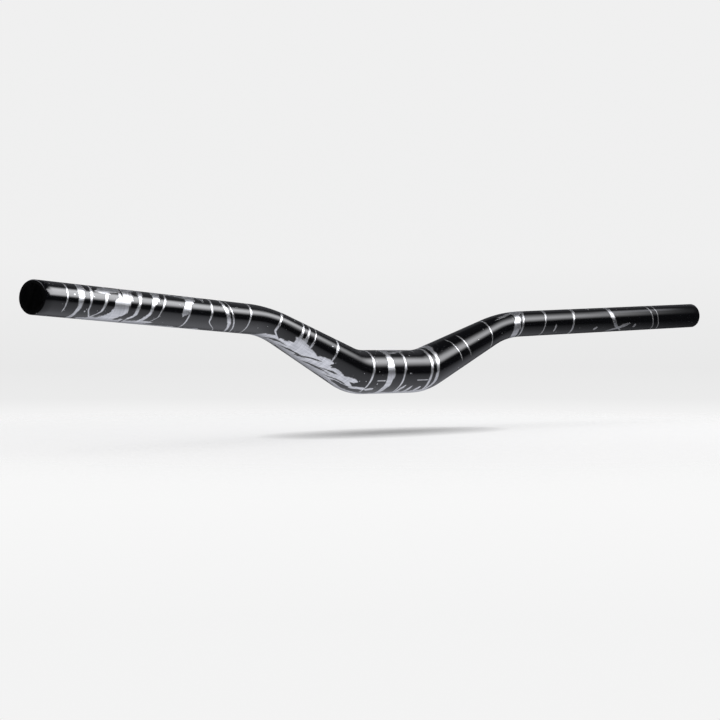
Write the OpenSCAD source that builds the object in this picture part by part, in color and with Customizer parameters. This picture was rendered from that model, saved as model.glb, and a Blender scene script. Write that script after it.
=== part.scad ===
// Riser handlebar for a bicycle: one butted tube, fat where the stem clamps it,
// bent up and back on both sides, and drawn down to the grips' diameter.
// X runs along the clamp to the rider's right, Y points forward and Z up.
// The origin is the middle of the clamp stretch, on the tube's axis.

/* [Overall] */
// Width, from the middle of one end to the middle of the other
width = 800; // [740:5:820]
// Height of the ends' middles above the axis of the clamp stretch
rise = 50.5; // [40:0.5:70]
// Backward sweep of the grips in degrees, seen from above
back_sweep = 9.4; // [5:0.1:12]
// Upward sweep of the grips in degrees, seen from behind
up_sweep = 2.5; // [0:0.1:6]

/* [Bends] */
// Angle in degrees between the clamp stretch and the rising stretch
rise_angle = 20.3; // [16:0.1:26]
// Lean of the rising stretch towards the rider, in degrees
rise_lean = 9.3; // [0:0.1:14]
// Radius of the bend beside the clamp, along the tube's axis
inner_bend_r = 66; // [50:1:90]
// Radius of the bend beside the grip, along the tube's axis
outer_bend_r = 128; // [90:1:160]

/* [Tube] */
// Outer diameter where the stem clamps
clamp_d = 35; // [31.8:0.1:36]
// Length of the straight stretch for the stem
clamp_len = 60; // [50:1:80]
// Outer diameter where the grips go
grip_d = 22.2; // [20:0.1:24]
// Wall thickness at the clamp
clamp_wall = 2.2; // [1.8:0.1:3]
// Wall thickness from the outer bend to the end
grip_wall = 1.9; // [1.5:0.1:2.5]
// Length along the axis in which the diameter and the wall fall to the grip's
taper_len = 143; // [110:1:170]
// Length in which the taper eases in at one end and out at the other
taper_ease = 30; // [10:1:50]
// Bevel on the cut edges of both ends, outside and inside
end_bevel = 0.5; // [0.2:0.1:0.8]

/* [Hidden] */
finish_colour = [0.06, 0.06, 0.07];

// Flats around the swept stretch, and rings in each of its parts
sides = 40;
inner_bend_rings = 6;
rise_rings = 6;
outer_bend_rings = 9;
tail_rings = 3;

// The round stretches run out into the swept stretch's flats: a fine cone, seam_len long,
// brings each round just below the flats, which lie seam_drop inside the true radius.
// The swept stretch runs on by seam_overlap inside the round ones.
seam_len = 2;
seam_drop = 0.02;
seam_overlap = 8;
// How far the hollow reaches past the cut ends
overshoot = 1;

// Skins of the tube: the wall lies between them
outside = 0;
inside = 1;

clamp_r = clamp_d / 2;
grip_r = grip_d / 2;

function unit(v) = v / norm(v);
// The direction, at a right angle to a, that turns a towards b
function turn_side(a, b) = unit(b - a * (a * b));
// Place and direction after turning by phi degrees on a bend that starts at p along a
function bend_place(p, a, side, r, phi) = p + r * (a * sin(phi) + side * (1 - cos(phi)));
function bend_dir(a, side, phi) = a * cos(phi) + side * sin(phi);

// Directions of the right half's three straight stretches
clamp_dir = [1, 0, 0];
rise_dir = [cos(rise_angle), -sin(rise_angle) * sin(rise_lean), sin(rise_angle) * cos(rise_lean)];
grip_dir = [cos(up_sweep) * cos(back_sweep), -cos(up_sweep) * sin(back_sweep), sin(up_sweep)];

// The two bends between them
inner_side = turn_side(clamp_dir, rise_dir);
outer_side = turn_side(rise_dir, grip_dir);
outer_angle = acos(rise_dir * grip_dir);
inner_start = [clamp_len / 2, 0, 0];
inner_end = bend_place(inner_start, clamp_dir, inner_side, inner_bend_r, rise_angle);
outer_span = bend_place([0, 0, 0], rise_dir, outer_side, outer_bend_r, outer_angle);

// The rising and grip stretches take the lengths that bring the end to its width and rise
left_over = [width / 2, 0, rise] - inner_end - outer_span;
cross_xz = rise_dir.x * grip_dir.z - rise_dir.z * grip_dir.x;
rise_len = (left_over.x * grip_dir.z - left_over.z * grip_dir.x) / cross_xz;
grip_len = (rise_dir.x * left_over.z - rise_dir.z * left_over.x) / cross_xz;
outer_start = inner_end + rise_len * rise_dir;
outer_end = outer_start + outer_span;

// Distances along the axis from the middle of the bar to each change
s_inner = clamp_len / 2;
s_rise = s_inner + inner_bend_r * rise_angle * PI / 180;
s_outer = s_rise + rise_len;
s_grip = s_outer + outer_bend_r * outer_angle * PI / 180;
s_end = s_grip + grip_len;
s_round = max(s_grip, s_inner + taper_len);

function degrees_at(s, from, r) = (s - from) / r * 180 / PI;
function place(s) =
    s <= s_inner ? s * clamp_dir
    : s <= s_rise ? bend_place(inner_start, clamp_dir, inner_side, inner_bend_r,
                               degrees_at(s, s_inner, inner_bend_r))
    : s <= s_outer ? inner_end + (s - s_rise) * rise_dir
    : s <= s_grip ? bend_place(outer_start, rise_dir, outer_side, outer_bend_r,
                               degrees_at(s, s_outer, outer_bend_r))
    : outer_end + (s - s_grip) * grip_dir;
function heading(s) =
    s <= s_inner ? clamp_dir
    : s <= s_rise ? bend_dir(clamp_dir, inner_side, degrees_at(s, s_inner, inner_bend_r))
    : s <= s_outer ? rise_dir
    : s <= s_grip ? bend_dir(rise_dir, outer_side, degrees_at(s, s_outer, outer_bend_r))
    : grip_dir;

// Share of the taper that is done at s: parabola, straight line, parabola
function tapered(s) =
    let (t = min(max(s - s_inner, 0), taper_len),
         slope = 1 / (taper_len - taper_ease),
         rest = taper_len - t)
    t < taper_ease ? slope * t * t / (2 * taper_ease)
    : rest < taper_ease ? 1 - slope * rest * rest / (2 * taper_ease)
    : slope * (t - taper_ease / 2);
function wall(s) = clamp_wall + (grip_wall - clamp_wall) * tapered(s);
function skin_r(s, skin) = clamp_r + (grip_r - clamp_r) * tapered(s) - skin * wall(s);

// One ring of points square to the axis at s
function ring(s, r) =
    let (across = unit(cross([0, 0, 1], heading(s))), up = cross(heading(s), across))
    [for (i = [0:sides - 1]) place(s) + r * (across * cos(i * 360 / sides) + up * sin(i * 360 / sides))];
// Radius of a ring's corners in a stretch of radius r, and of a round's end just below its flats
function corner_r(r) = r - seam_drop;
function round_end_r(r) = r * cos(180 / sides) - 2 * seam_drop;

// Solid with flat ends through a list of rings
module loft(rings) {
    last = len(rings) - 1;
    polyhedron(
        points = [for (r = rings) each r],
        faces = concat(
            [[for (i = [0:sides - 1]) i]],
            [for (j = [0:last - 1], i = [0:sides - 1])
                let (a = j * sides, b = a + sides, k = (i + 1) % sides)
                [a + i, b + i, b + k, a + k]],
            [[for (i = [sides - 1:-1:0]) last * sides + i]]));
}

function steps(from, to, count) = [for (i = [0:count - 1]) from + (to - from) * i / count];
stations = concat(
    [s_inner - seam_overlap],
    steps(s_inner, s_rise, inner_bend_rings),
    steps(s_rise, s_outer, rise_rings),
    steps(s_outer, s_grip, outer_bend_rings),
    s_round > s_grip ? steps(s_grip, s_round, tail_rings) : [],
    [s_round, s_round + seam_overlap]);

module swept_stretch(skin)
    loft([for (s = stations) ring(s, corner_r(skin_r(s, skin)))]);

module clamp_stretch(skin) {
    r = skin_r(0, skin);
    end_r = round_end_r(r);
    rotate([0, 90, 0])
        rotate_extrude($fn = 2 * sides)
            polygon([
                [0, -s_inner], [end_r, -s_inner], [r, seam_len - s_inner],
                [r, s_inner - seam_len], [end_r, s_inner], [0, s_inner]]);
}

// Straight stretch to the cut end. The bevel takes from the outside and opens the inside,
// which also runs on past the end.
module grip_stretch(skin) {
    r = skin_r(s_round, skin);
    length = s_end - s_round;
    end_r = r + (skin == inside ? end_bevel : -end_bevel);
    stop = length + (skin == inside ? overshoot : 0);
    translate(place(s_round))
        rotate([0, 90 - up_sweep, -back_sweep])
            rotate_extrude($fn = 2 * sides)
                polygon([
                    [0, 0], [round_end_r(r), 0], [r, seam_len], [r, length - end_bevel],
                    [end_r, length], [end_r, stop], [0, stop]]);
}

module half_bar(skin) {
    swept_stretch(skin);
    grip_stretch(skin);
}

module filled_bar(skin) {
    clamp_stretch(skin);
    half_bar(skin);
    mirror([1, 0, 0])
        half_bar(skin);
}

module handlebar() {
    color(finish_colour)
        difference() {
            filled_bar(outside);
            filled_bar(inside);
        }
}

handlebar();
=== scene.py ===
# %% [markdown]
# # A riser handlebar: gloss black paint over bare metal brush strokes
# The object is one bent aluminium tube. The solid model already holds its true
# shape and size, and this lesson gives it a smooth skin, a painted finish and
# a small photo studio. Most cells print what they made.

import math

import bmesh
import bpy
from mathutils import Matrix, Vector


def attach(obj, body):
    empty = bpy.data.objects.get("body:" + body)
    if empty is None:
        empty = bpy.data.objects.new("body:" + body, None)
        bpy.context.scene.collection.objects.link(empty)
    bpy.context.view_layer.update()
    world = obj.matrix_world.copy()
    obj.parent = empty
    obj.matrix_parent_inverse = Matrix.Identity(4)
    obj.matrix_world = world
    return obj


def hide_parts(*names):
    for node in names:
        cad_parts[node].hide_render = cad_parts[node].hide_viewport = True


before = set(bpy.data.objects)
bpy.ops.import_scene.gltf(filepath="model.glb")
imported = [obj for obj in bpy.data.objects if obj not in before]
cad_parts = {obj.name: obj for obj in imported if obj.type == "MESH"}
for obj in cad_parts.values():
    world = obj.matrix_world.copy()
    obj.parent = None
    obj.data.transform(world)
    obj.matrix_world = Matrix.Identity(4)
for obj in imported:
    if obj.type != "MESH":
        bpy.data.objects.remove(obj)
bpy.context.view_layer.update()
MM = 0.001

# %% [markdown]
# ## The bar's middle line
# The tube is straight at the clamp, bends up, rises, bends back and runs out
# straight to the grip's end. Two arcs and three straight lines describe that
# line exactly, so the skin is swept along the same numbers as the solid.
# Only the right half is worked out; the left half is its mirror image.

# %% Numbers of the solid, in mm and degrees
HALF_WIDTH = 400.0
RISE = 50.5
CLAMP_HALF = 30.0
INNER_BEND_R = 66.0
OUTER_BEND_R = 128.0
TAPER = 143.0
TAPER_EASE = 30.0
END_BEVEL = 0.5
CLAMP_R, GRIP_R = 17.5, 11.1
CLAMP_WALL, GRIP_WALL = 2.2, 1.9


def tilted(rise_deg, turn_deg):
    """Direction that leaves +X, first up, then back towards the rider."""
    rise, turn = math.radians(rise_deg), math.radians(turn_deg)
    flat = math.cos(rise)
    return Vector((flat * math.cos(turn), -flat * math.sin(turn), math.sin(rise)))


RISE_ANGLE, RISE_LEAN = math.radians(20.3), math.radians(9.3)
clamp_dir = Vector((1, 0, 0))
rise_dir = Vector(
    (
        math.cos(RISE_ANGLE),
        -math.sin(RISE_ANGLE) * math.sin(RISE_LEAN),
        math.sin(RISE_ANGLE) * math.cos(RISE_LEAN),
    )
)
grip_dir = tilted(2.5, 9.4)
print("rise and grip directions:", rise_dir.to_tuple(3), grip_dir.to_tuple(3))

# %% The two bends and the straight lengths between them


def turn_side(a, b):
    """Direction at a right angle to a, on b's side."""
    return (b - a * a.dot(b)).normalized()


def on_bend(start, a, side, r, angle):
    return start + r * (a * math.sin(angle) + side * (1 - math.cos(angle)))


inner_side, outer_side = turn_side(clamp_dir, rise_dir), turn_side(rise_dir, grip_dir)
outer_angle = rise_dir.angle(grip_dir)
inner_start = clamp_dir * CLAMP_HALF
inner_end = on_bend(inner_start, clamp_dir, inner_side, INNER_BEND_R, RISE_ANGLE)
outer_span = on_bend(Vector(), rise_dir, outer_side, OUTER_BEND_R, outer_angle)
left_over = Vector((HALF_WIDTH, 0, RISE)) - inner_end - outer_span
cross_xz = rise_dir.x * grip_dir.z - rise_dir.z * grip_dir.x
rise_len = (left_over.x * grip_dir.z - left_over.z * grip_dir.x) / cross_xz
grip_len = (rise_dir.x * left_over.z - rise_dir.z * left_over.x) / cross_xz
outer_start = inner_end + rise_len * rise_dir
outer_end = outer_start + outer_span

S_RISE = CLAMP_HALF + INNER_BEND_R * RISE_ANGLE
S_OUTER = S_RISE + rise_len
S_GRIP = S_OUTER + OUTER_BEND_R * outer_angle
S_END = S_GRIP + grip_len
print(f"half the tube is {S_END:.1f} mm long, {grip_len:.1f} mm of it straight for the grip")

# %% Place, heading and radius at any length along the bar


def right_half(s):
    """Point and heading at length s from the middle, on the right half."""
    if s <= CLAMP_HALF:
        return clamp_dir * s, clamp_dir
    if s <= S_RISE:
        turn = (s - CLAMP_HALF) / INNER_BEND_R
        heading = clamp_dir * math.cos(turn) + inner_side * math.sin(turn)
        return on_bend(inner_start, clamp_dir, inner_side, INNER_BEND_R, turn), heading
    if s <= S_OUTER:
        return inner_end + (s - S_RISE) * rise_dir, rise_dir
    if s <= S_GRIP:
        turn = (s - S_OUTER) / OUTER_BEND_R
        heading = rise_dir * math.cos(turn) + outer_side * math.sin(turn)
        return on_bend(outer_start, rise_dir, outer_side, OUTER_BEND_R, turn), heading
    return outer_end + (s - S_GRIP) * grip_dir, grip_dir


def placing(s):
    """Matrix that carries a flat ring in XY onto the bar, square to it at s."""
    point, heading = right_half(abs(s))
    if s < 0:
        point = Vector((-point.x, point.y, point.z))
        heading = Vector((heading.x, -heading.y, -heading.z))
    forward = Vector((0, 0, 1)).cross(heading).normalized()
    up = heading.cross(forward)
    m = Matrix((forward, up, heading)).transposed().to_4x4()
    m.translation = point
    return Matrix.Scale(MM, 4) @ m


def tapered(s):
    """Share of the taper that is done: it eases in, runs straight, eases out."""
    t = min(max(abs(s) - CLAMP_HALF, 0), TAPER)
    slope, rest = 1 / (TAPER - TAPER_EASE), TAPER - t
    if t < TAPER_EASE:
        return slope * t * t / (2 * TAPER_EASE)
    if rest < TAPER_EASE:
        return 1 - slope * rest * rest / (2 * TAPER_EASE)
    return slope * (t - TAPER_EASE / 2)


def outer_r(s):
    return CLAMP_R + (GRIP_R - CLAMP_R) * tapered(s)


def inner_r(s):
    return outer_r(s) - CLAMP_WALL - (GRIP_WALL - CLAMP_WALL) * tapered(s)


# %% [markdown]
# ## Sweeping the tube's skin
# The solid is made of flats, which would show as bands in a gloss finish. A
# fine sweep hides them: one circle is extruded from ring to ring along the
# middle line, once for the outside and once for the bore. Bridging the two at
# the cut ends closes the wall, and a small bevel breaks the cut edges.

# %% Where the rings go
AROUND = 96
STEP_CLAMP, STEP_INNER_BEND, STEP_RISE, STEP_OUTER_BEND, STEP_GRIP = 6, 1.6, 4, 2.4, 8


def spread(start, stop, step):
    """Lengths from start up to, but not with, stop, at most step apart."""
    count = max(1, math.ceil((stop - start) / step))
    return [start + (stop - start) * i / count for i in range(count)]


half = (
    spread(0, CLAMP_HALF, STEP_CLAMP)
    + spread(CLAMP_HALF, S_RISE, STEP_INNER_BEND)
    + spread(S_RISE, S_OUTER, STEP_RISE)
    + spread(S_OUTER, S_GRIP, STEP_OUTER_BEND)
    + spread(S_GRIP, S_END, STEP_GRIP)
    + [S_END]
)
lengths = [-s for s in reversed(half[1:])] + half
print(len(lengths), "rings of", AROUND, "points")

# %% Extrude a circle along the bar


def sweep(bm, radius):
    """Skin of the given radius along the whole bar. Returns its two end rings."""
    start = bmesh.ops.create_circle(
        bm, segments=AROUND, radius=radius(lengths[0]), matrix=placing(lengths[0])
    )["verts"]
    ring = list({e for v in start for e in v.link_edges})
    first = ring
    for here, there in zip(lengths, lengths[1:]):
        made = bmesh.ops.extrude_edge_only(bm, edges=ring)["geom"]
        ring = [g for g in made if isinstance(g, bmesh.types.BMEdge)]
        verts = [g for g in made if isinstance(g, bmesh.types.BMVert)]
        grow = Matrix.Diagonal((*(radius(there) / radius(here),) * 2, 1, 1))
        move = placing(there) @ grow @ placing(here).inverted()
        bmesh.ops.transform(bm, matrix=move, verts=verts)
    return first, ring


bm = bmesh.new()
outside = sweep(bm, outer_r)
bore = sweep(bm, inner_r)
for out_ring, in_ring in zip(outside, bore):
    bmesh.ops.bridge_loops(bm, edges=out_ring + in_ring)
cut_edges = [e for rings in (outside, bore) for ring in rings for e in ring]
bmesh.ops.bevel(
    bm,
    geom=cut_edges,
    offset=END_BEVEL * MM,
    offset_type="OFFSET",
    affect="EDGES",
    segments=2,
    profile=0.5,
    material=-1,
)
bmesh.ops.recalc_face_normals(bm, faces=bm.faces)
print(len(bm.verts), "points,", len(bm.faces), "faces")

# %% [markdown]
# ## A straight place for every point
# The pattern runs along the bar and round it, so it needs to know where a
# point would lie if the bar were pulled straight. That is kept on the mesh as
# a vector: length along the bar, then forward and up across it, in metres.
# It has no seam, and a material reads it like any other coordinate.

# %% Write the straightened place on the mesh
STEPS = 8
SHARP_EDGE = math.radians(30)


def straight_place(co):
    """Straightened place of a point, found by a few steps along the bar's middle line."""
    side = -1 if co.x < 0 else 1
    p = Vector((abs(co.x), co.y, co.z)) / MM
    s = p.x
    for _ in range(STEPS):
        point, heading = right_half(s)
        s = max(s + (p - point).dot(heading), 0)
    local = placing(side * s).inverted() @ co
    return Vector((side * s, local.x, local.y)) * MM


unbent = bm.verts.layers.float_vector.new("unbent")
for v in bm.verts:
    v[unbent] = straight_place(v.co)
skin_mesh = bpy.data.meshes.new("bar_skin")
bm.to_mesh(skin_mesh)
bm.free()
skin_mesh.shade_smooth()
skin_mesh.set_sharp_from_angle(angle=SHARP_EDGE)
bar_skin = bpy.data.objects.new("bar_skin", skin_mesh)
bpy.context.scene.collection.objects.link(bar_skin)
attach(bar_skin, "root")
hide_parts("handlebar")
print("skin made,", len(skin_mesh.polygons), "faces")

# %% [markdown]
# ## Sums on the surface
# The finish is drawn with numbers that vary over the skin: distances to
# strokes, widths, noise. Each sum is a Math node. This small wrapper lets the
# next cells write such sums as plain formulas.

# %% Formulas that become Math nodes
class Number:
    """A number that varies over the surface, held by one node socket."""

    def __init__(self, tree, socket):
        self.tree, self.socket = tree, socket

    def math(self, operation, *others, clamp=False):
        node = self.tree.nodes.new("ShaderNodeMath")
        node.operation, node.use_clamp = operation, clamp
        for slot, value in zip(node.inputs, (self, *others)):
            if isinstance(value, Number):
                self.tree.links.new(value.socket, slot)
            else:
                slot.default_value = value
        return Number(self.tree, node.outputs[0])

    def __add__(self, other):
        return self.math("ADD", other)

    def __sub__(self, other):
        return self.math("SUBTRACT", other)

    def __mul__(self, other):
        return self.math("MULTIPLY", other)

    def __truediv__(self, other):
        return self.math("DIVIDE", other)

    def __neg__(self):
        return self * -1.0

    def __abs__(self):
        return self.math("ABSOLUTE")

    def least(self, other):
        return self.math("MINIMUM", other)

    def most(self, other):
        return self.math("MAXIMUM", other)

    def eased(self, low, high):
        """0 below low, 1 above high and smooth between. With low above high it falls."""
        node = self.tree.nodes.new("ShaderNodeMapRange")
        node.interpolation_type = "SMOOTHSTEP"
        rising = high > low
        self.tree.links.new(self.socket, node.inputs["Value"])
        node.inputs["From Min"].default_value = min(low, high)
        node.inputs["From Max"].default_value = max(low, high)
        node.inputs["To Min"].default_value = 0.0 if rising else 1.0
        node.inputs["To Max"].default_value = 1.0 if rising else 0.0
        return Number(self.tree, node.outputs["Result"])


def new_material(name):
    """Material with its node tree and its main shader."""
    material = bpy.data.materials.new(name)
    material.use_nodes = True
    return material, material.node_tree, material.node_tree.nodes["Principled BSDF"]


print("formulas ready")

# %% [markdown]
# ## Where a point lies on the straightened bar
# The vector on the mesh becomes three numbers: the length along the bar in
# mm, and the point's direction round the tube as forward and up, from -1 to 1.
# Noise is read from the same vector, so it bends with the bar.

# %% Read the straightened place in the paint material
paint, tree, shader = new_material("black_over_bare_metal")
place_node = tree.nodes.new("ShaderNodeAttribute")
place_node.attribute_name = "unbent"
split = tree.nodes.new("ShaderNodeSeparateXYZ")
tree.links.new(place_node.outputs["Vector"], split.inputs[0])
TO_MM = 1000.0
along, raw_forward, raw_up = [Number(tree, out) * TO_MM for out in split.outputs]
from_axis = (raw_forward * raw_forward + raw_up * raw_up).math("SQRT")
forward, up = raw_forward / from_axis, raw_up / from_axis


def noise(size, detail=2.0, rough=0.5, distort=0.0, shift=(0.0, 0.0, 0.0)):
    """Three noises, centred on 0, whose waves measure size mm along the bar and across it."""
    mapping = tree.nodes.new("ShaderNodeMapping")
    mapping.inputs["Scale"].default_value = [TO_MM / v for v in size]
    mapping.inputs["Location"].default_value = shift
    tree.links.new(place_node.outputs["Vector"], mapping.inputs["Vector"])
    node = tree.nodes.new("ShaderNodeTexNoise")
    node.inputs["Scale"].default_value = 1.0
    node.inputs["Detail"].default_value = detail
    node.inputs["Roughness"].default_value = rough
    node.inputs["Distortion"].default_value = distort
    tree.links.new(mapping.outputs[0], node.inputs["Vector"])
    parts = tree.nodes.new("ShaderNodeSeparateColor")
    tree.links.new(node.outputs["Color"], parts.inputs[0])
    return [Number(tree, out) - 0.5 for out in parts.outputs]


# sway bends a stroke's line and swell its width, flow stirs its edge and ragged nibbles at it.
# round_bristle has hairs that run round the bar, and long_bristle has hairs that run along it.
sway, swell, _ = noise((30.0, 22.0, 22.0))
round_bristle, _, _ = noise((1.1, 16.0, 16.0), shift=(3.1, 0.0, 0.0))
long_bristle, brushed, _ = noise((46.0, 1.3, 1.3), shift=(0.0, 7.0, 0.0))
ragged, _, _ = noise((2.4, 2.4, 2.4), detail=3.0, rough=0.6, shift=(9.0, 0.0, 0.0))
flow, _, _ = noise((11.0, 6.0, 6.0), distort=0.6, shift=(2.0, 4.0, 6.0))
print("the paint reads", place_node.attribute_name)

# %% [markdown]
# ## Strokes as node groups
# The bright pattern looks like brush strokes that leave the metal bare. Each
# kind of stroke is one node group. It takes the shared numbers of the surface
# and the settings of one stroke, and gives 1 inside the stroke and 0 outside.
# Inside, a point's distance to the stroke's middle line, less half its width,
# says whether the metal shows. Bristle noise is added to that distance, so a
# dry stroke breaks up into hairs.

# %% What every stroke reads
shared = {
    "along": along,
    "forward": forward,
    "up": up,
    "from_axis": from_axis,
    "sway": sway,
    "swell": swell,
    "flow": flow,
    "ragged": ragged,
    "round_bristle": round_bristle,
    "long_bristle": long_bristle,
}
SOFT_EDGE = 0.5  # mm either side of a stroke's outline over which metal turns to paint
FAR_SIDE = 60.0  # mm added to the distance on the other side of the tube


def stroke_kind(name, settings, formula):
    """Node group for one kind of stroke. formula gets a bag of Numbers and returns a distance."""
    group = bpy.data.node_groups.new(name, "ShaderNodeTree")
    for label in (*shared, *settings):
        group.interface.new_socket(name=label, in_out="INPUT", socket_type="NodeSocketFloat")
    group.interface.new_socket(name="inside", in_out="OUTPUT", socket_type="NodeSocketFloat")
    source, result = group.nodes.new("NodeGroupInput"), group.nodes.new("NodeGroupOutput")
    bag = {label: Number(group, source.outputs[label]) for label in (*shared, *settings)}
    inside = formula(bag).eased(SOFT_EDGE, -SOFT_EDGE)
    group.links.new(inside.socket, result.inputs["inside"])
    return group


def stroke(kind, settings, values):
    """One stroke of that kind, with values in the order of settings."""
    node = tree.nodes.new("ShaderNodeGroup")
    node.node_tree = kind
    for label, number in shared.items():
        tree.links.new(number.socket, node.inputs[label])
    for label, value in zip(settings, values):
        node.inputs[label].default_value = value
    return Number(tree, node.outputs["inside"])


def facing(bag, angle):
    """Cosine between a point's direction round the tube and angle: 0 forward, 90 up, 180 rider."""
    a = angle * (math.pi / 180)
    return bag["forward"] * a.math("COSINE") + bag["up"] * a.math("SINE")


def round_from(bag, angle):
    """Distance in mm round the tube from the line at angle, and the far side's extra distance."""
    a = angle * (math.pi / 180)
    across = bag["forward"] * a.math("SINE") - bag["up"] * a.math("COSINE")
    behind = facing(bag, angle).math("LESS_THAN", 0.05)
    return across * bag["from_axis"], behind * FAR_SIDE


print("stroke tools ready")

# %% A ring, or part of one
RING = ("place", "width", "lean", "bow", "middle", "span", "dry", "hook", "taper")


def ring_formula(bag):
    """Stroke round the bar at place, over span degrees about middle, all lengths in mm.

    lean tips it, bow bends its top and bottom along the bar, hook sweeps its foot along the
    bar, and taper makes it broad at the top and thin at the foot, or the other way round.
    """
    up_here, width = bag["up"], bag["width"]
    foot = (-up_here).eased(0.45, 1.15)
    line = up_here * bag["lean"] + (bag["forward"] + 1.0) * bag["bow"] + foot * bag["hook"]
    line = line + bag["sway"] * (width * 0.35 + 3.0) - bag["flow"] * (width * 0.3 + 0.6)
    half = width * 0.5 * (bag["swell"] * 2.8 + 1.0).most(0.12)
    half = half * (up_here * bag["taper"] + 1.0).most(0.1)
    half_span = bag["span"] * (math.pi / 360)
    past_end = (half_span.math("COSINE") - facing(bag, bag["middle"])).most(0.0)
    # a brush that comes down on the top, a little to the rider's side, is driest there
    top = (up_here * 0.97 - bag["forward"] * 0.26).eased(0.2, 0.95)
    dry = (top * 1.1 + 0.7) * bag["dry"] * (width * 0.5 + 1.2)
    body = abs(bag["along"] - bag["place"] - line) - half + past_end * (width + 3.0)
    return body + bag["round_bristle"] * dry + bag["ragged"] * 0.8


ring_kind = stroke_kind("brush_ring", RING, ring_formula)
print("ring group has", len(ring_kind.nodes), "nodes")

# %% A stroke along the bar, and a short blunt dab
RUN = ("angle", "width", "start", "stop", "drift", "dry")
DAB = ("place", "angle", "length", "width", "tilt", "curl", "dry")


def run_formula(bag):
    """Stroke along the bar from start to stop, on the side at angle, drifting by drift mm."""
    across, behind = round_from(bag, bag["angle"])
    width = bag["width"]
    reach = (bag["stop"] - bag["start"]) * 0.5
    out = bag["along"] - (bag["start"] + bag["stop"]) * 0.5
    line = out * bag["drift"] / reach + bag["sway"] * 5.0 + bag["flow"] * (width * 0.3 + 1.0)
    half = width * 0.5 * (bag["swell"] * 2.4 + 1.0).most(0.1)
    past_end = (abs(out) - reach).most(0.0) * 0.35
    body = abs(across - line) - half + past_end + behind
    dry = bag["dry"] * (width * 0.4 + 1.2)
    return body + bag["long_bristle"] * dry + bag["ragged"] * 0.9


def dab_formula(bag):
    """Short blunt dab, turned by tilt degrees from the bar's line and curled by curl mm."""
    across, behind = round_from(bag, bag["angle"])
    a = bag["tilt"] * (math.pi / 180)
    out = bag["along"] - bag["place"]
    lengthways = (out * a.math("COSINE") + across * a.math("SINE")) * 2.0 / bag["length"]
    sideways = across * a.math("COSINE") - out * a.math("SINE")
    sideways = sideways + lengthways * lengthways * bag["curl"] + bag["sway"] * 4.0
    blunt = (lengthways * lengthways).math("POWER", 2.0)
    half = (blunt * -1.0 + 1.0) * bag["width"] * 0.5
    uneven = bag["flow"] * (bag["width"] * 0.4 + 1.2)
    uneven = uneven + bag["long_bristle"] * bag["dry"] + bag["ragged"]
    return abs(sideways) - half + behind + uneven


run_kind = stroke_kind("brush_run", RUN, run_formula)
dab_kind = stroke_kind("brush_dab", DAB, dab_formula)
print("run and dab groups have", len(run_kind.nodes), "and", len(dab_kind.nodes), "nodes")
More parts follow.
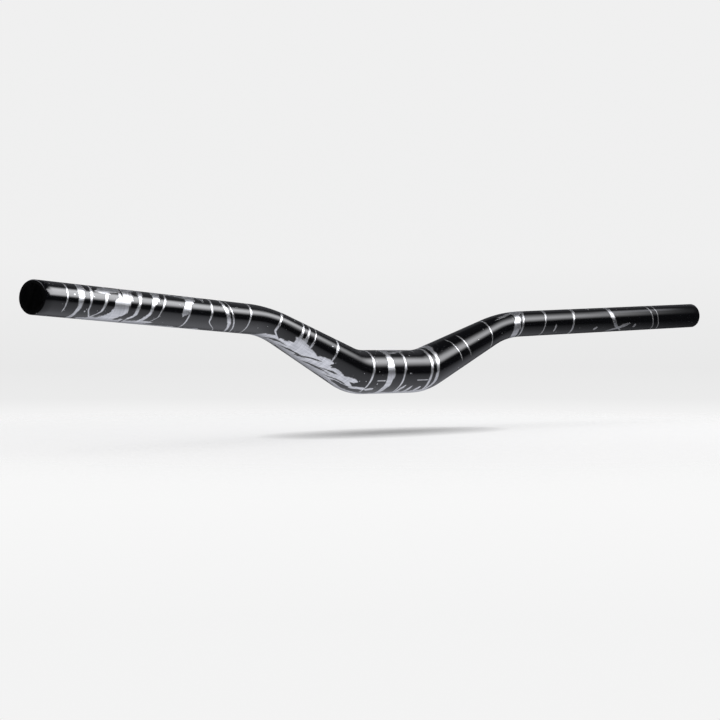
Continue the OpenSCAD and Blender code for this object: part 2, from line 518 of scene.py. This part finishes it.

# %% [markdown]
# ## The pattern
# The strokes are laid out as lists, dense on the rider's left and
# sparser towards the right end, as a quick brush would leave them: rings
# alone and in claws of three, broad dry patches, a band under the left grip,
# dabs run together under the left rise, and a few flecks. Black dabs laid
# over the silver ones open it up again. The dabs under the rise all slant one
# way, so that they stay brush strokes and never look like letters. Last come
# hair scratches on top, at the right end of the clamp stretch, such as a bar
# gets while it is fitted, and two thin lines to centre it by.

# %% Rings, runs and dabs, from the left end to the right, and last those in front
rings = [
    # place, width, lean, bow, middle, span, dry, hook, taper
    (-390, 1.0, 2, 1, 150, 140, 0.4, 0, 0.3),
    (-377, 4.4, 3, 2, 180, 360, 0.6, 0, 0.3),
    (-367, 1.3, 3, 2, 168, 210, 0.4, 9, 0),
    (-353, 1.6, 5, 2, 160, 180, 0.5, -10, 0.3),
    (-335, 15.0, 7, 3, 158, 250, 1.0, -12, 0.15),
    (-318, 4.6, 5, 3, 165, 200, 0.7, -12, 0.5),
    (-303, 7.5, 6, 3, 175, 280, 0.9, -9, 0.2),
    (-292, 1.6, 6, 3, 180, 220, 0.5, -9, 0.4),
    (-266, 8.0, 8, 3, 124, 130, 1.2, 0, 0.2),
    (-262, 1.8, 3, 2, 190, 230, 0.6, 0, 0),
    (-236, 1.5, 3, 2, 180, 230, 0.4, 15, 0.3),
    (-217, 3.6, -5, 4, 175, 250, 0.9, 0, 0.5),
    (-211, 1.3, -5, 4, 170, 210, 0.5, 0, 0.3),
    (-189, 1.6, 3, 2, 178, 190, 0.5, 0, 0.4),
    (-152, 2.2, 5, 3, 165, 240, 0.5, 16, -0.3),
    (-126, 2.0, 4, 2, 160, 190, 0.6, 8, -0.4),
    (-119, 2.6, 4, 2, 160, 210, 0.8, 8, -0.4),
    (-111, 1.5, 4, 2, 155, 190, 0.5, 8, -0.2),
    (-84, 1.5, 4, 0, 150, 150, 0.7, 0, 0.5),
    (-36, 1.8, 4, 1, 150, 190, 0.7, 0, 0.3),
    (-14, 8.0, 2, 2, 186, 270, 1.1, -7, 0.1),
    (3, 2.0, 4, 2, 180, 230, 0.5, 0, 0.2),
    (38, 2.4, 5, 2, 165, 230, 0.6, 0, 0.3),
    (47, 4.4, 6, 1, 160, 220, 0.9, -8, 0.3),
    (79, 0.9, -3, 1, 150, 70, 0.6, 0, 0),
    (92, 0.9, -3, 1, 155, 60, 0.6, 0, 0),
    (126, 1.1, 3, 1, 148, 150, 0.6, 0, 0.3),
    (163, 7.5, 5, 3, 150, 220, 1.2, 0, 0.3),
    (171, 1.4, 4, 2, 180, 230, 0.5, 0, 0.3),
    (199, 1.3, 3, 2, 165, 200, 0.6, 0, 0.5),
    (236, 2.6, 2, 2, 165, 230, 0.8, 0, 0.5),
    (289, 3.2, -5, 3, 160, 220, 1.0, 9, 0.4),
    (342, 1.1, -3, 2, 165, 230, 0.6, 0, 0.4),
    (350, 0.9, -3, 2, 165, 160, 0.6, 0, 0.4),
    (-352, 2.4, 5, 2, 20, 130, 0.9, 0, 0),
    (-240, 4.0, -4, 2, 40, 150, 1.2, 0, 0.3),
    (-133, 1.6, 3, 2, 10, 160, 0.6, 0, 0),
    (22, 1.2, 3, 1, 20, 170, 0.5, 0, 0.3),
    (262, 1.6, -3, 2, 30, 150, 0.6, 0, 0.3),
]
runs = [
    # angle, width, start, stop, drift, dry
    (264, 7.0, -362, -244, -1.5, 0.6),
    (246, 2.6, -332, -300, 2, 0.8),
    (126, 5.0, -352, -322, 2, 1.2),
    (116, 2.4, -296, -262, -2, 1.3),
    (252, 9.0, -168, -84, 3, 1.2),
    (264, 8.0, -130, -52, -2, 1.1),
    (224, 5.0, -122, -84, -4, 1.2),
    (258, 7.5, -50, 52, 2, 1.0),
    (110, 1.6, -8, 26, 3, 3.0),
    (100, 2.2, -12, 30, 1, 2.6),
    (112, 1.8, 146, 178, 2, 2.6),
    (226, 2.2, 286, 308, 3, 1.1),
    (30, 5.0, -118, -60, 4, 1.3),
    (350, 4.0, -320, -280, -4, 1.2),
]
dabs = [
    # place, angle, length, width, tilt, curl, dry
    (-156, 248, 36, 6.0, 7, 2, 1.2),
    (-137, 238, 36, 7.0, 15, 2, 1.4),
    (-119, 229, 36, 7.0, 17, 2, 1.4),
    (-101, 233, 40, 8.5, 14, -2, 1.5),
    (-82, 238, 36, 7.5, 15, 2, 1.4),
    (-66, 243, 32, 6.5, 12, 2, 1.3),
    (-60, 227, 22, 4.0, 17, 1, 1.2),
    (-45, 237, 15, 3.0, 15, 1, 0.9),
    (-34, 232, 8, 2.0, 16, 0, 0.7),
    (4, 238, 15, 3.4, 60, 1, 0.6),
    (14, 240, 15, 3.4, 63, 1, 0.6),
    (25, 241, 13, 3.0, 60, 1, 0.6),
    (34, 244, 10, 2.4, 58, 1, 0.6),
    (212, 208, 8, 2.2, 84, 0, 0.6),
    (266, 220, 5, 2.0, 30, 0, 0.6),
    (318, 214, 4, 1.8, 60, 0, 0.6),
    (-200, 350, 26, 7.0, 30, 3, 1.0),
    (-176, 10, 18, 5.0, -30, 2, 0.9),
]
black_dabs = [
    (-146, 242, 28, 1.7, 10, 2, 1.0),
    (-124, 246, 32, 1.8, 6, 1, 1.0),
    (-108, 235, 28, 1.6, 17, 1, 0.9),
    (-92, 248, 32, 1.7, 8, 1, 1.0),
    (-84, 237, 24, 1.4, 14, 1, 0.9),
    (-68, 248, 24, 1.4, 10, 1, 0.9),
    (-333, 128, 12, 2.2, 64, 1, 0.7),
    (-328, 232, 9, 2.4, 70, 1, 0.6),
    (-10, 214, 9, 1.6, 78, 1, 0.6),
]
bare = None
for kind, settings, rows in (
    (ring_kind, RING, rings),
    (run_kind, RUN, runs),
    (dab_kind, DAB, dabs),
):
    for row in rows:
        one = stroke(kind, settings, row)
        bare = one if bare is None else bare.most(one)
    print(kind.name, len(rows))
for row in black_dabs:
    bare = bare.least(-stroke(dab_kind, DAB, row) + 1.0)

# %% Flecks all over, and hair scratches at the right end of the clamp stretch
FLECK_LIMIT = 0.265  # the higher, the fewer flecks
FLECK_SHADE, SCRATCH_SHADE = 0.8, 0.6


def side(angle):
    """Cosine to a fixed angle, in the paint's own tree."""
    a = math.radians(angle)
    return forward * math.cos(a) + up * math.sin(a)


fleck, fleck_field, _ = noise((3.4, 2.6, 2.6), detail=1.0, shift=(0.0, 0.0, 4.0))
more_on_the_left = along.eased(340.0, -330.0) * 0.05
flecks = (fleck + more_on_the_left).eased(FLECK_LIMIT, FLECK_LIMIT + 0.02)
flecks = flecks * fleck_field.eased(-0.02, 0.05)
bare = bare.most(flecks * FLECK_SHADE)

hairs, hair_field, _ = noise((7.0, 0.5, 0.5), detail=1.0, shift=(0.0, 2.0, 9.0))
on_clamp_top = abs(along - 36.0).eased(40.0, 8.0) * side(110.0).eased(0.75, 0.95)
scratches = hairs.eased(0.19, 0.26) * on_clamp_top * hair_field.eased(-0.05, 0.1)
bare = bare.most(scratches * SCRATCH_SHADE)

# %% Two thin lines that help to centre the bar
CENTRING_ANGLE = 203.0
CENTRING_HALF, CENTRING_SHADE = 0.45, 0.75
for start, stop in ((-30.0, -20.0), (20.0, 34.0)):
    a = math.radians(CENTRING_ANGLE)
    across = (up * math.cos(a) - forward * math.sin(a)) * from_axis
    in_width = abs(across) * -1.0 + CENTRING_HALF
    in_length = abs(along - (start + stop) / 2) * -1.0 + (stop - start) / 2
    line = in_width.least(in_length).eased(-0.2, 0.2) * side(CENTRING_ANGLE).eased(0.0, 0.3)
    bare = bare.most(line * CENTRING_SHADE)
print("pattern drawn with", len(tree.nodes), "nodes")

# %% [markdown]
# ## Paint and metal in one shader
# Black gloss paint is dark and smooth. The bare strokes are brushed
# aluminium: a metal, a good deal rougher, with fine hair lines in its shade.
# One shader does both, and the pattern blends its colour, metalness and
# roughness from the one to the other.

# %% Colour, metalness and roughness from the pattern
def blended(tree, amount, low, high):
    """Colour that goes from low to high as amount goes from 0 to 1."""
    node = tree.nodes.new("ShaderNodeMix")
    node.data_type = "RGBA"
    tree.links.new(amount.socket, node.inputs["Factor"])
    for name, value in (("A", low), ("B", high)):
        slot = next(i for i in node.inputs if i.name == name and i.type == "RGBA")
        if isinstance(value, tuple):
            slot.default_value = (*value, 1)
        else:
            tree.links.new(value, slot)
    return next(o for o in node.outputs if o.type == "RGBA")


BLACK_PAINT = (0.0017, 0.0018, 0.0025)
DULL_METAL, BRIGHT_METAL = (0.52, 0.527, 0.545), (0.86, 0.865, 0.885)
PAINT_ROUGH, METAL_ADDS, HAIR_SMOOTHS, SMUDGE_ADDS = 0.11, 0.28, -0.08, 0.04
hair_shade = (brushed + round_bristle + 0.5).eased(0.05, 0.95)
metal_colour = blended(tree, hair_shade, DULL_METAL, BRIGHT_METAL)
tree.links.new(blended(tree, bare, BLACK_PAINT, metal_colour), shader.inputs["Base Color"])
tree.links.new(bare.socket, shader.inputs["Metallic"])
smudge, _, _ = noise((40.0, 18.0, 18.0), detail=3.0, shift=(0.0, 5.0, 0.0))
metal_rough = hair_shade * HAIR_SMOOTHS + METAL_ADDS
roughness = smudge * SMUDGE_ADDS + PAINT_ROUGH + bare * metal_rough
tree.links.new(roughness.socket, shader.inputs["Roughness"])
shader.inputs["IOR"].default_value = 1.5

# Painted shade: the bore is near black so that the inside of the tube reads dark; bare metal there
# would be grey.
BORE_BLACK = (0.002, 0.002, 0.002)
dark_bore, _, bore_shader = new_material("bore_painted_shade")
bore_shader.inputs["Base Color"].default_value = (*BORE_BLACK, 1)
bore_shader.inputs["Roughness"].default_value = 0.8
bore_shader.inputs["Specular IOR Level"].default_value = 0.05
skin_mesh.materials.append(paint)
skin_mesh.materials.append(dark_bore)

# %% Bore faces get the dull black
BORE_MARGIN = 0.3
bore_faces = 0
for face in skin_mesh.polygons:
    flat = straight_place(face.center) / MM
    if math.hypot(flat.y, flat.z) < inner_r(flat.x) + BORE_MARGIN:
        face.material_index = 1
        bore_faces += 1
print(bore_faces, "faces in the bore")

# %% [markdown]
# ## Camera
# The camera looks from the rider's left and behind, almost level with the
# bar, so that the near end shows its open bore.

# %% Camera
AZIMUTH, ELEVATION = math.radians(-49.36), math.radians(0.35)
TARGET = Vector((-0.03255, 0, 0.00962))
DISTANCE, LENS = 1.40791, 88.63
away = Vector(
    (
        math.sin(AZIMUTH) * math.cos(ELEVATION),
        -math.cos(AZIMUTH) * math.cos(ELEVATION),
        math.sin(ELEVATION),
    )
)
camera_data = bpy.data.cameras.new("camera")
camera_data.sensor_width = 36
camera_data.lens = LENS
camera_data.clip_start, camera_data.clip_end = 0.05, 60
camera = bpy.data.objects.new("camera", camera_data)
bpy.context.scene.collection.objects.link(camera)
camera.location = TARGET + DISTANCE * away
camera.rotation_mode = "QUATERNION"
camera.rotation_quaternion = (-away).to_track_quat("-Z", "Y")
bpy.context.scene.camera = camera

# %% [markdown]
# ## Floor and background
# The bar hangs a little above a pale floor that melts into a pale
# background. The floor is a disc that goes clear towards its rim, so no
# edge shows from any side. The lamps cast no shadow; the bar's shadow is a
# small soft patch painted into the floor's colour, like that of light from all
# round. An Ambient Occlusion node measures how much of the sky the bar hides
# from each point of the floor, and darkens the floor's colour there: painted shadow.

# %% Floor
FLOOR_Z = -0.049
FLOOR_COLOUR, PAINTED_SHADOW_COLOUR = (0.9, 0.9, 0.905), (0.05, 0.05, 0.05)
CLEAR_AT, SOLID_AT = 0.58, 0.14
SHADOW_REACH, SHADOW_DEPTH = 0.066, 1.9


def stage_mesh(name, make, material):
    """Mesh object of the studio, not of the bar. make fills its bmesh."""
    bm = bmesh.new()
    make(bm)
    mesh = bpy.data.meshes.new(name)
    bm.to_mesh(mesh)
    bm.free()
    mesh.materials.append(material)
    obj = bpy.data.objects.new(name, mesh)
    bpy.context.scene.collection.objects.link(obj)
    return obj


def from_centre(tree):
    """Object coordinates of a stage piece, as a vector socket."""
    return tree.nodes.new("ShaderNodeTexCoord").outputs["Object"]


def vector_parts(tree, socket):
    node = tree.nodes.new("ShaderNodeSeparateXYZ")
    tree.links.new(socket, node.inputs[0])
    return [Number(tree, out) for out in node.outputs]


floor_paint, floor_tree, floor_shader = new_material("pale_floor")
floor_shader.inputs["Roughness"].default_value = 1.0
floor_shader.inputs["Specular IOR Level"].default_value = 0.0
floor_x, floor_y, _ = vector_parts(floor_tree, from_centre(floor_tree))
from_middle = (floor_x * floor_x + floor_y * floor_y).math("SQRT")
floor_tree.links.new(from_middle.eased(CLEAR_AT, SOLID_AT).socket, floor_shader.inputs["Alpha"])
# Painted shadow: where the bar hides the sky, the floor's own colour is darkened, since the lamps
# cast no shadow.
painted_shadow_ao = floor_tree.nodes.new("ShaderNodeAmbientOcclusion")
painted_shadow_ao.inputs["Distance"].default_value = SHADOW_REACH
painted_shadow_ao.samples = 16
shade = Number(floor_tree, painted_shadow_ao.outputs["AO"]).math("POWER", SHADOW_DEPTH)
floor_tree.links.new(
    blended(floor_tree, shade, PAINTED_SHADOW_COLOUR, FLOOR_COLOUR), floor_shader.inputs["Base Color"]
)
floor = stage_mesh(
    "floor",
    lambda bm: bmesh.ops.create_circle(
        bm, cap_ends=True, segments=128, radius=1.0, matrix=Matrix.Translation((0, 0, FLOOR_Z))
    ),
    floor_paint,
)
floor.visible_glossy = False
print("floor at", FLOOR_Z)

# %% Background: pale to the camera, a plain even light for the rest
PLAIN_LIGHT = (0.45, 0.45, 0.45)
BACKDROP = (
    # height, from 0 at 14.5 degrees below level to 1 at 14.5 above, and the grey there
    (0.1, 0.900),
    (0.2, 0.900),
    (0.33, 0.935),
    (0.42, 0.930),
    (0.433, 0.885),
    (0.445, 0.835),
    (0.48, 0.812),
    (0.52, 0.830),
    (0.6, 0.868),
    (0.9, 0.871),
)
world = bpy.data.worlds.new("pale_room")
bpy.context.scene.world = world
world.use_nodes = True
room = world.node_tree
backdrop = room.nodes["Background"]
_, _, height = vector_parts(room, room.nodes.new("ShaderNodeTexCoord").outputs["Generated"])
pale = room.nodes.new("ShaderNodeValToRGB")
room.links.new((height * 2.0 + 0.5).math("ADD", 0.0, clamp=True).socket, pale.inputs[0])
for at, grey in BACKDROP:
    stop = pale.color_ramp.elements.new(at)
    stop.color = (grey, grey, grey, 1)
pale.color_ramp.elements.remove(pale.color_ramp.elements[0])
pale.color_ramp.elements.remove(pale.color_ramp.elements[-1])
ray = room.nodes.new("ShaderNodeLightPath")
seen = Number(room, ray.outputs["Is Camera Ray"])
for kind in ("Is Glossy Ray", "Is Transmission Ray"):
    seen = seen.most(Number(room, ray.outputs[kind]))
room.links.new(blended(room, seen, PLAIN_LIGHT, pale.outputs[0]), backdrop.inputs["Color"])
print("backdrop has", len(pale.color_ramp.elements), "greys")

# %% [markdown]
# ## Soft boxes
# Gloss black shows its surroundings more than its own colour. In a studio
# that is arranged on purpose: a long soft box to one side gives the bright
# line, black flags at eye level give the black band below it, and the pale
# floor lights the underside. Here two lamps light the colours, and they are
# kept out of the gloss. What the gloss mirrors is made of three pieces that
# nothing else sees: a shell round the scene, a near panel and a lit floor.

# %% Lamps
def soft_box(name, azimuth, elevation, distance, size, radiance):
    """Round lamp that looks at the bar from azimuth and elevation, in degrees."""
    data = bpy.data.lights.new(name, "AREA")
    data.shape, data.size = "DISK", size
    data.energy = radiance * math.pi * (math.pi * size * size / 4)
    lamp = bpy.data.objects.new(name, data)
    bpy.context.scene.collection.objects.link(lamp)
    az, el = math.radians(azimuth), math.radians(elevation)
    place = Vector((math.cos(el) * math.cos(az), math.cos(el) * math.sin(az), math.sin(el)))
    lamp.location = place * distance
    lamp.rotation_mode = "QUATERNION"
    lamp.rotation_quaternion = place.to_track_quat("Z", "Y")
    lamp.visible_glossy = False
    lamp.visible_camera = False
    data.use_shadow = False
    print(name, f"{data.energy:.1f} W")


soft_box("overhead_box", 0, 90, distance=1.6, size=2.2, radiance=1.4)
soft_box("side_box", -28, 31, distance=2.2, size=1.2, radiance=4.0)

# %% [markdown]
# ## The shell
# The shell is a big dark ball round the scene, with soft-edged bright boxes
# drawn on it by azimuth and elevation. Azimuth 0 is the rider's right, and 90
# is in front of the bar. How far a mirrored ray flies before it meets the
# ball tells which part of the bar it left, so one strip can shine on the
# right grip alone.

# %% The shell that the gloss sees
SHELL_R = 5.0
DARK_ROOM = 0.035
CEILING = 1.5
BOXES = (
    # azimuth, half width, edge, low, low edge, high, high edge, brightness
    (165.0, 40.0, 6.0, 24.0, 6.0, 44.0, 4.0, 3.5),  # past the left end
    (40.0, 36.0, 12.0, 12.0, 8.0, 44.0, 6.0, 0.1),  # a faint glow beyond the bar
    (95.0, 24.0, 10.0, 40.0, 6.0, 57.0, 6.0, 4.5),  # in front, for views from there
)
GRIP_STRIP = (-29.0, 17.0, 6.0, 37.0, 3.0, 45.0, 3.0)
GRIP_STRIP_GLOW = 1.4


def empty_material(name):
    material = bpy.data.materials.new(name)
    material.use_nodes = True
    material.node_tree.nodes.clear()
    return material


shell_glow = empty_material("studio_seen_in_gloss")
shell_tree = shell_glow.node_tree
sx, sy, sz = vector_parts(shell_tree, from_centre(shell_tree))
elevation = (sz / SHELL_R).math("ARCSINE") * (180 / math.pi)
azimuth = sy.math("ARCTAN2", sx) * (180 / math.pi)


def zone(centre, half_width, edge, low, low_edge, high, high_edge):
    """1 in a box on the shell, with soft edges. All values are in degrees."""
    turn = (azimuth - centre + 540.0).math("MODULO", 360.0) - 180.0
    across = abs(turn).eased(half_width + edge, half_width - edge)
    above = elevation.eased(low - low_edge, low + low_edge)
    below = elevation.eased(high + high_edge, high - high_edge)
    return across * above * below


def ray_length(tree):
    """How far a ray has flown, as a Number."""
    return Number(tree, tree.nodes.new("ShaderNodeLightPath").outputs["Ray Length"])


glow = elevation.eased(70.0, 80.0) * CEILING + DARK_ROOM
for *place, brightness in BOXES:
    glow = glow + zone(*place) * brightness
shell_ray = ray_length(shell_tree) / SHELL_R
from_right_grip = shell_ray.eased(0.958, 0.950) * shell_ray.eased(0.934, 0.942)
glow = glow + zone(*GRIP_STRIP) * from_right_grip * GRIP_STRIP_GLOW

# %% Make the shell, in slightly cool light
COOL = (0.975, 0.99, 1.07)


def gloss_only(obj):
    """Shows a stage piece to mirrored rays alone."""
    obj.visible_camera = False
    obj.visible_diffuse = False
    obj.visible_transmission = False
    obj.visible_shadow = False


def glowing(material, strength, tint, see_through=False):
    """Lets a material give light. With see_through, what lies behind it shows as well."""
    tree = material.node_tree
    emission = tree.nodes.new("ShaderNodeEmission")
    emission.inputs["Color"].default_value = (*tint, 1)
    out = tree.nodes.new("ShaderNodeOutputMaterial")
    tree.links.new(strength.socket, emission.inputs["Strength"])
    light = emission.outputs[0]
    if see_through:
        both = tree.nodes.new("ShaderNodeAddShader")
        tree.links.new(tree.nodes.new("ShaderNodeBsdfTransparent").outputs[0], both.inputs[0])
        tree.links.new(light, both.inputs[1])
        light = both.outputs[0]
    tree.links.new(light, out.inputs[0])
    material.cycles.emission_sampling = "NONE"


glowing(shell_glow, glow, COOL)
shell = stage_mesh(
    "gloss_shell",
    lambda bm: bmesh.ops.create_icosphere(bm, subdivisions=5, radius=SHELL_R),
    shell_glow,
)
gloss_only(shell)

# %% [markdown]
# ## The near panel
# The long bright line on the tube is the mirror image of a soft panel close
# by, on the rider's right. A real one may be curved or have flags in front of
# it. Here it is a flat grid, whose upper and lower edges shift with the
# length of the mirrored ray, so that each stretch of the tube sees the edge
# that a curved panel would show it. It is see-through, so the shell shows
# beside it.

# %% The near soft panel, which draws the long bright line
PANEL_PLACE = Vector((0.576, -0.474, 0.581))
PANEL_TURN, PANEL_TIP, PANEL_ROLL = 0.172, -0.083, -0.123  # in radians
PANEL_X, PANEL_Y = 0.55, 0.5
PANEL_LEVEL, FAR_ADDS = 6.3, 1.2
PANEL_TINT = (0.99, 0.995, 1.025)
# The edges are places on the panel, in metres. The upper and the lower edge start at TOP_AT
# and LOW_AT, and go up by TOP_SHIFTS and LOW_SHIFTS for each metre that the ray has flown.
RIGHT_EDGE, LEFT_EDGE = (0.51, 0.27), (-0.55, -0.42)
TOP_AT, TOP_SHIFTS, TOP_SOFT = -0.503, 0.62, (0.14, -0.10)
LOW_AT, LOW_SHIFTS, LOW_SOFT = -0.36, 0.12, (-0.12, 0.11)
panel_glow = empty_material("soft_panel")
panel_tree = panel_glow.node_tree
px, py, _ = vector_parts(panel_tree, from_centre(panel_tree))
panel_ray = ray_length(panel_tree)
raised = py + px.eased(0.12, -0.04) * 0.055
level = panel_ray.eased(0.95, 1.15) * FAR_ADDS + PANEL_LEVEL
level = level * px.eased(*RIGHT_EDGE) * px.eased(*LEFT_EDGE)
level = level * (raised - panel_ray * TOP_SHIFTS - TOP_AT).eased(*TOP_SOFT)
level = level * (raised - panel_ray * LOW_SHIFTS - LOW_AT).eased(*LOW_SOFT)
glowing(panel_glow, level, PANEL_TINT, see_through=True)
panel = stage_mesh(
    "soft_panel",
    lambda bm: bmesh.ops.create_grid(
        bm,
        x_segments=1,
        y_segments=1,
        size=1.0,
        matrix=Matrix.Diagonal((PANEL_X, PANEL_Y, 1, 1)),
    ),
    panel_glow,
)
out = math.cos(PANEL_TIP)
faces = Vector((out * math.cos(PANEL_TURN), out * math.sin(PANEL_TURN), math.sin(PANEL_TIP)))
level_side = Vector((0, 0, 1)).cross(faces).normalized()
steep_side = faces.cross(level_side)
across_side = level_side * math.cos(PANEL_ROLL) + steep_side * math.sin(PANEL_ROLL)
panel_turned = Matrix((across_side, faces.cross(across_side), faces)).transposed().to_4x4()
panel.matrix_world = Matrix.Translation(PANEL_PLACE) @ panel_turned
gloss_only(panel)

# %% [markdown]
# ## The lit floor in the gloss
# The grey sheen on the tube's underside is the mirror image of the floor. The
# real floor is hidden from the gloss, and a glowing disc just above it takes
# its place, so that the sheen can fade with distance and end early in front of
# the bar.

# %% The lit floor as the gloss sees it: a pool of light that ends early on the far side
POOL_X, POOL_Y, POOL_R = -0.096, 0.174, 0.745
POOL_LEVEL, FAR_LOSES = 0.95, -0.84
pool_glow = empty_material("floor_in_gloss")
pool_tree = pool_glow.node_tree
qx, qy, _ = vector_parts(pool_tree, from_centre(pool_tree))
from_pool = ((qx - POOL_X) * (qx - POOL_X) + (qy - POOL_Y) * (qy - POOL_Y)).math("SQRT")
pool = from_pool.eased(POOL_R, 0.0) * POOL_LEVEL * (qy.eased(-0.046, 0.097) * FAR_LOSES + 1.0)
glowing(pool_glow, pool, COOL, see_through=True)
pool_disc = stage_mesh(
    "floor_in_gloss",
    lambda bm: bmesh.ops.create_circle(
        bm,
        cap_ends=True,
        segments=96,
        radius=0.95,
        matrix=Matrix.Translation((0, 0, FLOOR_Z + 0.001)),
    ),
    pool_glow,
)
gloss_only(pool_disc)
print("gloss pieces:", shell.name, panel.name, pool_disc.name)

# %% [markdown]
# The finish and the studio must not change the bar's size. Last, the
# colours are shown through the Standard view transform.

# %% Finish: the Standard view transform
bpy.context.scene.view_settings.view_transform = "Standard"
